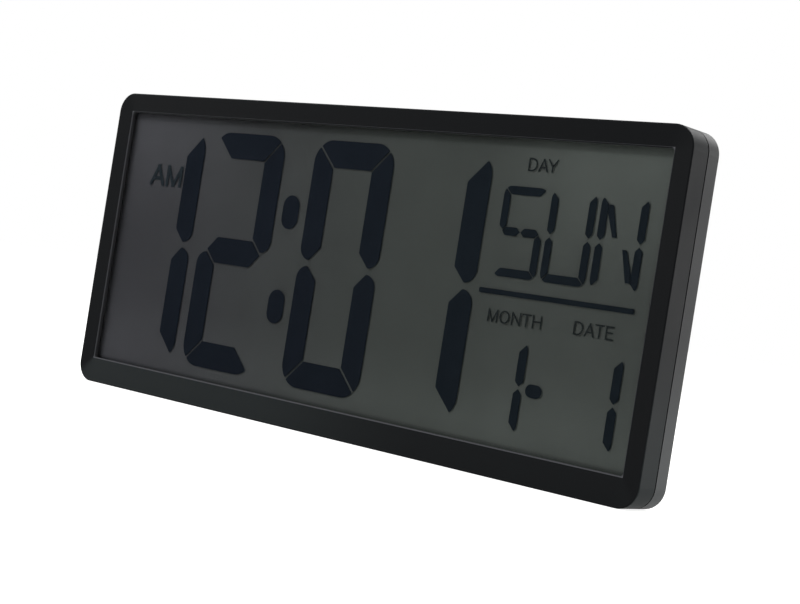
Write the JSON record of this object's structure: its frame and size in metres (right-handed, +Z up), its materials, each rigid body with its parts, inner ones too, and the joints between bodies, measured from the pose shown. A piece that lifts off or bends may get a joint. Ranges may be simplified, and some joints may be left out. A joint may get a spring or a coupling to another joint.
{
  "type": "digital day clock",
  "caption": "Wide slim black clock with a large reflective LCD for time, weekday, month and date, with a fold-out leg, wall keyholes, battery door and rear setting buttons.",
  "frame": {"origin": "middle of the clock's base, centred across its width and depth", "axes": "+X to the viewer's right, the display faces -Y, +Z up"},
  "size_m": [0.368, 0.028, 0.16],
  "materials": {
    "black_abs": "fine spark-eroded grain",
    "natural_abs": "as moulded",
    "foam": "closed-cell foam",
    "polarizer_film": "anti-glare film",
    "display_glass": "clear float glass",
    "cell_seal": "cured epoxy",
    "lit_segment": "switched liquid crystal",
    "reflector_film": "diffuse reflective polariser",
    "ribbon_film": "printed polyimide film",
    "board_laminate": "solder-masked glass epoxy",
    "chip_resin": "dripped epoxy",
    "nickel_steel": "nickel plated",
    "zinc_steel": "black zinc plated",
    "capacitor_body": "fired",
    "switch_plastic": "glass-filled",
    "cell_jacket": "printed sleeve on a steel can",
    "red_insulation": "extruded",
    "black_insulation": "extruded",
    "button_plastic": "smooth moulded"
  },
  "bodies": {
    "case": {"front_bezel": "black_abs", "rear_cover": "black_abs", "case_screws": "zinc_steel", "lcd_gasket": "foam", "lcd_front_polarizer": "polarizer_film", "lcd_front_glass": "display_glass", "lcd_cell_seal": "cell_seal", "lcd_time_digits": "lit_segment", "lcd_weekday_letters": "lit_segment", "lcd_date_digits": "lit_segment", "lcd_rear_glass": "display_glass", "lcd_reflector": "reflector_film", "lcd_carrier": "natural_abs", "carrier_screws": "nickel_steel", "lcd_ribbon": "ribbon_film", "main_board": "board_laminate", "board_screws": "nickel_steel", "chip_encapsulation": "chip_resin", "quartz_crystal": "nickel_steel", "chip_capacitors": "capacitor_body", "switch_bodies": "switch_plastic", "aa_cells": "cell_jacket", "positive_contact": "nickel_steel", "negative_contact": "nickel_steel", "bridge_contact": "nickel_steel", "battery_lead_red": "red_insulation", "battery_lead_black": "black_insulation", "stand_hinge_pin": "nickel_steel"},
    "battery_door": {"battery_door": "black_abs"},
    "stand_leg": {"stand_leg": "black_abs"},
    "button_1": {"button_1": "button_plastic", "switch_plunger_1": "switch_plastic"},
    "button_2": {"button_2": "button_plastic", "switch_plunger_2": "switch_plastic"},
    "button_3": {"button_3": "button_plastic", "switch_plunger_3": "switch_plastic"},
    "button_4": {"button_4": "button_plastic", "switch_plunger_4": "switch_plastic"}
  },
  "joints": [
    {"name": "stand_hinge", "type": "hinge", "parent": "case", "child": "stand_leg", "pos_m": [0, 0.011, 0.096], "axis": [1, 0, 0], "range_deg": [0, 25]},
    {"name": "battery_door_slide", "type": "slide", "parent": "case", "child": "battery_door", "axis": [-1, 0, 0], "range_m": [0, 0.062]},
    {"name": "button_1_press", "type": "slide", "parent": "case", "child": "button_1", "axis": [0, -1, 0], "range_m": [0, 0.0005], "stiffness_N_per_m": 400},
    {"name": "button_2_press", "type": "slide", "parent": "case", "child": "button_2", "axis": [0, -1, 0], "range_m": [0, 0.0005], "stiffness_N_per_m": 400},
    {"name": "button_3_press", "type": "slide", "parent": "case", "child": "button_3", "axis": [0, -1, 0], "range_m": [0, 0.0005], "stiffness_N_per_m": 400},
    {"name": "button_4_press", "type": "slide", "parent": "case", "child": "button_4", "axis": [0, -1, 0], "range_m": [0, 0.0005], "stiffness_N_per_m": 400}
  ]
}
